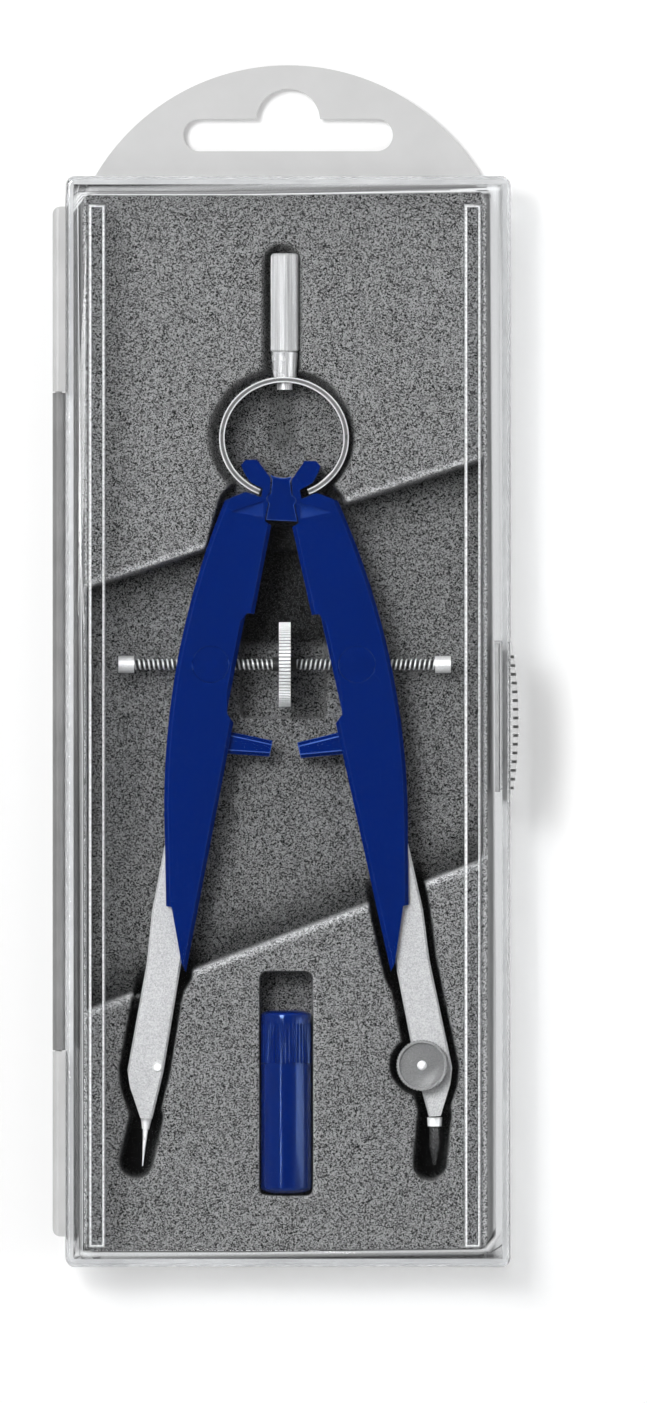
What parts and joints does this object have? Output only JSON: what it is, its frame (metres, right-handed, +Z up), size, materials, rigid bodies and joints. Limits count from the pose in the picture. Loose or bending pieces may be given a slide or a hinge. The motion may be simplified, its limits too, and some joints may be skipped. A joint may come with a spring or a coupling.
{
  "type": "drafting instrument case",
  "caption": "Clear hinged hang case with a flocked grey tray that holds a blue spring-bow compass and a lead box.",
  "frame": {"origin": "middle of the base's underside", "axes": "+X across the case to the thumb grip, +Y along the case to the hang tab, +Z up through the lid"},
  "size_m": [0.0838, 0.2164, 0.021],
  "materials": {
    "clear_plastic": "clear polystyrene, polished",
    "frosted_plastic": "frosted sheet",
    "grey_flock": "short grey flock on a formed sheet",
    "nickel": "nickel plate",
    "satin_steel": "satin",
    "blue_plastic": "semi-gloss moulding",
    "graphite": "graphite"
  },
  "bodies": {
    "case": {"case_base": "clear_plastic", "hang_tab": "frosted_plastic", "insert_tray": "grey_flock", "handle_grip": "nickel", "handle_cone": "nickel", "handle_stud": "nickel", "ring_spring": "nickel", "fulcrum_block": "blue_plastic", "lead_box_tube": "blue_plastic", "spare_leads": "graphite"},
    "lid": {"case_lid": "clear_plastic"},
    "left_leg": {"left_leg_cover": "blue_plastic", "left_arm": "satin_steel", "left_lever_pin": "satin_steel", "left_lever_spring": "satin_steel", "needle_collar": "nickel", "needle": "satin_steel", "needle_rivet": "nickel"},
    "right_leg": {"right_leg_cover": "blue_plastic", "right_arm": "satin_steel", "right_lever_pin": "satin_steel", "right_lever_spring": "satin_steel", "lead_sleeve": "nickel"},
    "left_nut": {"left_swivel_nut": "blue_plastic"},
    "right_nut": {"right_swivel_nut": "blue_plastic"},
    "left_lever": {"left_release_lever": "blue_plastic"},
    "right_lever": {"right_release_lever": "blue_plastic"},
    "spindle": {"spindle": "nickel", "thumbwheel": "nickel", "left_spindle_cap": "nickel", "right_spindle_cap": "nickel"},
    "clamp": {"clamp_screw": "satin_steel"},
    "lead": {"lead": "graphite"},
    "lead_cap": {"lead_box_cap": "blue_plastic"}
  },
  "joints": [
    {"name": "lid_hinge", "type": "hinge", "parent": "case", "child": "lid", "pos_m": [-0.0413, 0, 0.0105], "axis": [0, -1, 0], "range_deg": [0, 180]},
    {"name": "wheel_turn", "type": "hinge", "parent": "case", "child": "spindle", "pos_m": [-0.00056, 0.0103, 0.0105], "axis": [1, 0, 0], "range_deg": [-75, 75]},
    {"name": "left_leg_swing", "type": "hinge", "parent": "case", "child": "left_leg", "pos_m": [-0.0029, 0.04007, 0.0105], "axis": [0, 0, -1], "range_deg": [-0.4, 0.4], "deforming": ["ring_spring"]},
    {"name": "right_leg_swing", "type": "hinge", "parent": "case", "child": "right_leg", "pos_m": [0.00055, 0.03973, 0.0105], "axis": [0, 0, 1], "range_deg": [-0.4, 0.4], "deforming": ["ring_spring"]},
    {"name": "left_nut_swivel", "type": "hinge", "parent": "left_leg", "child": "left_nut", "pos_m": [-0.01387, 0.0103, 0.0105], "axis": [0, 0, -1], "range_deg": [-0.4, 0.4]},
    {"name": "right_nut_swivel", "type": "hinge", "parent": "right_leg", "child": "right_nut", "pos_m": [0.0124, 0.0103, 0.0105], "axis": [0, 0, 1], "range_deg": [-0.4, 0.4]},
    {"name": "left_lever_press", "type": "hinge", "parent": "left_leg", "child": "left_lever", "pos_m": [-0.0146, -0.0031, 0.0105], "axis": [0, 0, -1], "range_deg": [0, 6], "stiffness_Nm_per_rad": 0.002, "deforming": ["left_lever_spring"]},
    {"name": "right_lever_press", "type": "hinge", "parent": "right_leg", "child": "right_lever", "pos_m": [0.01352, -0.00308, 0.0105], "axis": [0, 0, 1], "range_deg": [0, 6], "stiffness_Nm_per_rad": 0.002, "deforming": ["right_lever_spring"]},
    {"name": "clamp_turn", "type": "hinge", "parent": "right_leg", "child": "clamp", "pos_m": [0.02408, -0.06178, 0.0105], "axis": [0, 0, 1], "range_deg": [0, 270]},
    {"name": "lead_slide", "type": "slide", "parent": "right_leg", "child": "lead", "axis": [0, -1, 0], "range_m": [0, 0.0015]},
    {"name": "cap_pull", "type": "slide", "parent": "case", "child": "lead_cap", "axis": [0, 1, 0], "range_m": [0, 0.006]}
  ],
  "couplings": [
    {"joint": "left_leg_swing", "follows": "wheel_turn", "ratio": 0.0045442},
    {"joint": "right_leg_swing", "follows": "wheel_turn", "ratio": 0.0045967},
    {"joint": "left_nut_swivel", "follows": "wheel_turn", "ratio": -0.0045442},
    {"joint": "right_nut_swivel", "follows": "wheel_turn", "ratio": -0.0045967}
  ]
}
